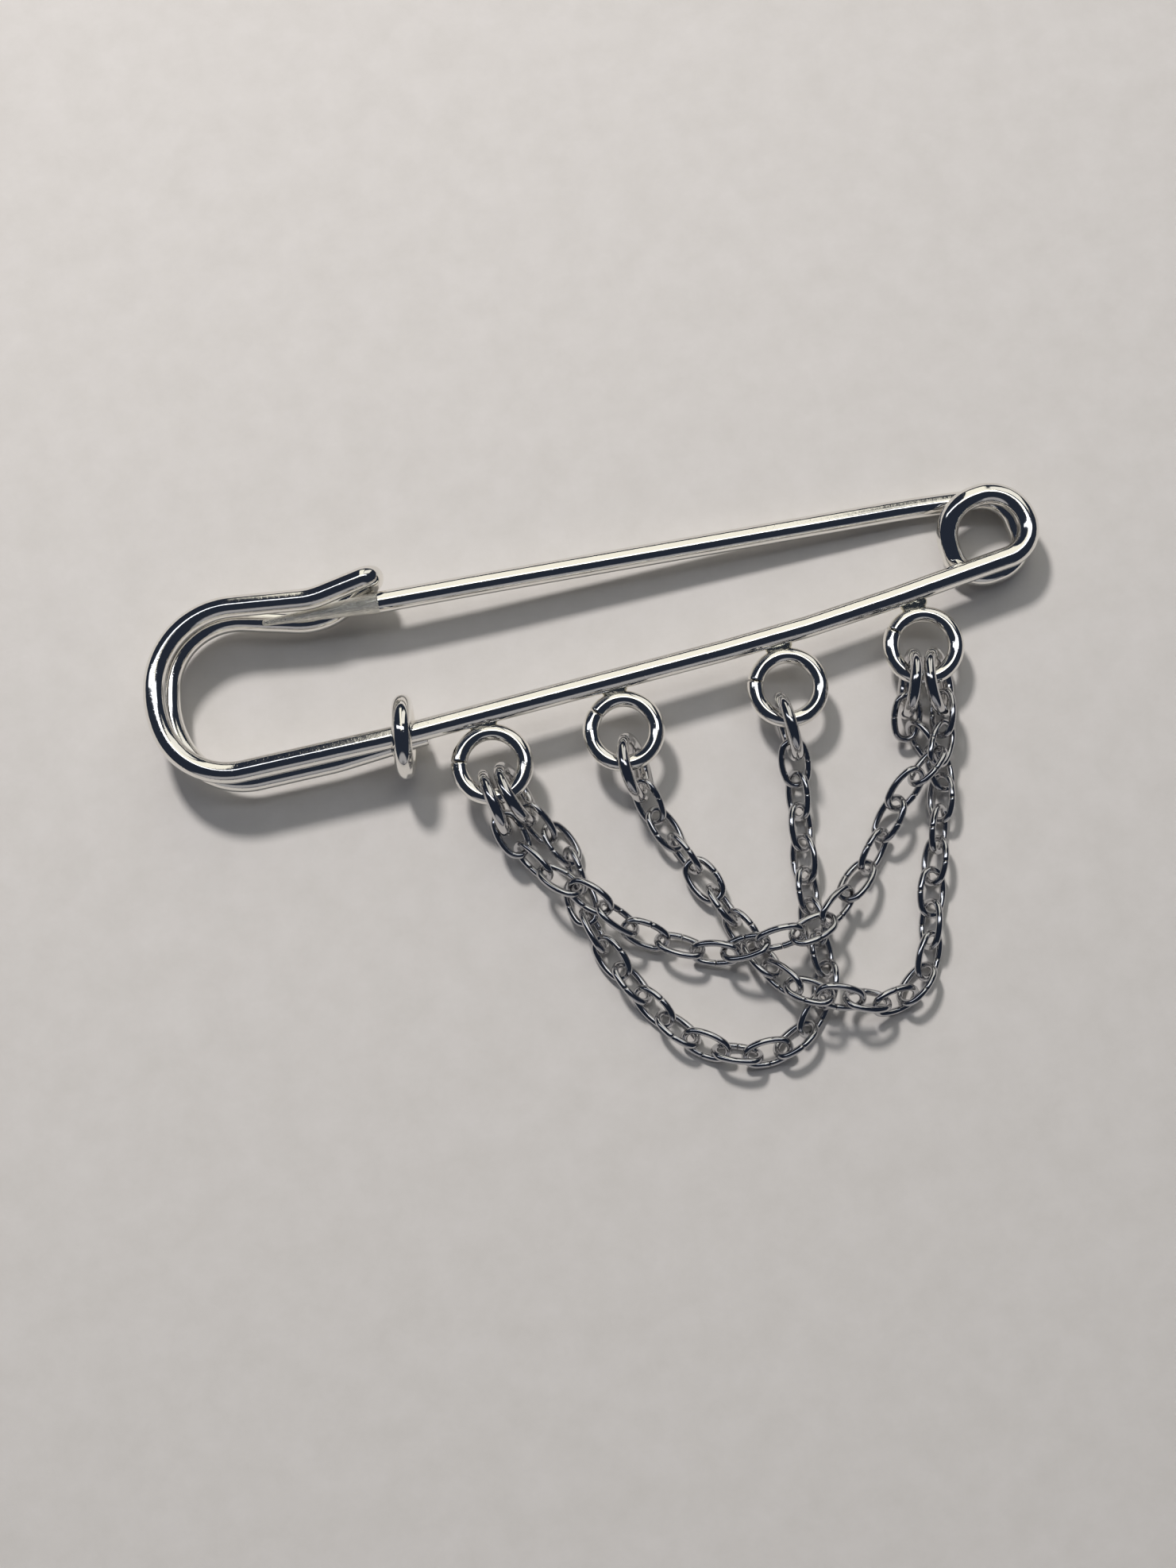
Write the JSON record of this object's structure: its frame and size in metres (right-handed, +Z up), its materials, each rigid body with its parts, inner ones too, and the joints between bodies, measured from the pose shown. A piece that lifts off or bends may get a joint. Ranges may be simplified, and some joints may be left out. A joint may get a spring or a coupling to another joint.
{
  "type": "kilt pin brooch with chain swags",
  "caption": "Long wire safety pin with a doubled catch hook and a coiled spring, lying closed, with split loops under its bar and oval-link chain swags hung between them on jump rings.",
  "frame": {"origin": "centre of the whole brooch's footprint on the surface it lies on", "axes": "+X along the pin from the catch hook to the spring coil, +Y from the bar to the tongue, away from the chains, +Z up from the surface"},
  "size_m": [0.0747, 0.0466, 0.007],
  "materials": {
    "pin_metal": "bright silver plate on steel wire",
    "ring_metal": "bright rhodium plate on wire",
    "chain_metal": "bright rhodium plate on fine wire"
  },
  "bodies": {
    "brooch": {"pin_frame": "pin_metal", "keeper_ring": "pin_metal", "jump_ring_1": "ring_metal", "jump_ring_2": "ring_metal", "jump_ring_3": "ring_metal", "jump_ring_4": "ring_metal", "jump_ring_5": "ring_metal", "jump_ring_6": "ring_metal", "upper_swag": "chain_metal", "lower_swag": "chain_metal", "right_swag": "chain_metal"},
    "tongue": {"pin_tongue": "pin_metal"}
  },
  "joints": [
    {"name": "tongue_squeeze", "type": "hinge", "parent": "brooch", "child": "tongue", "pos_m": [0.03318, 0.01531, 0], "axis": [0, 0, 1], "range_deg": [0, 6], "stiffness_Nm_per_rad": 0.5, "springref_deg": -5.73}
  ]
}
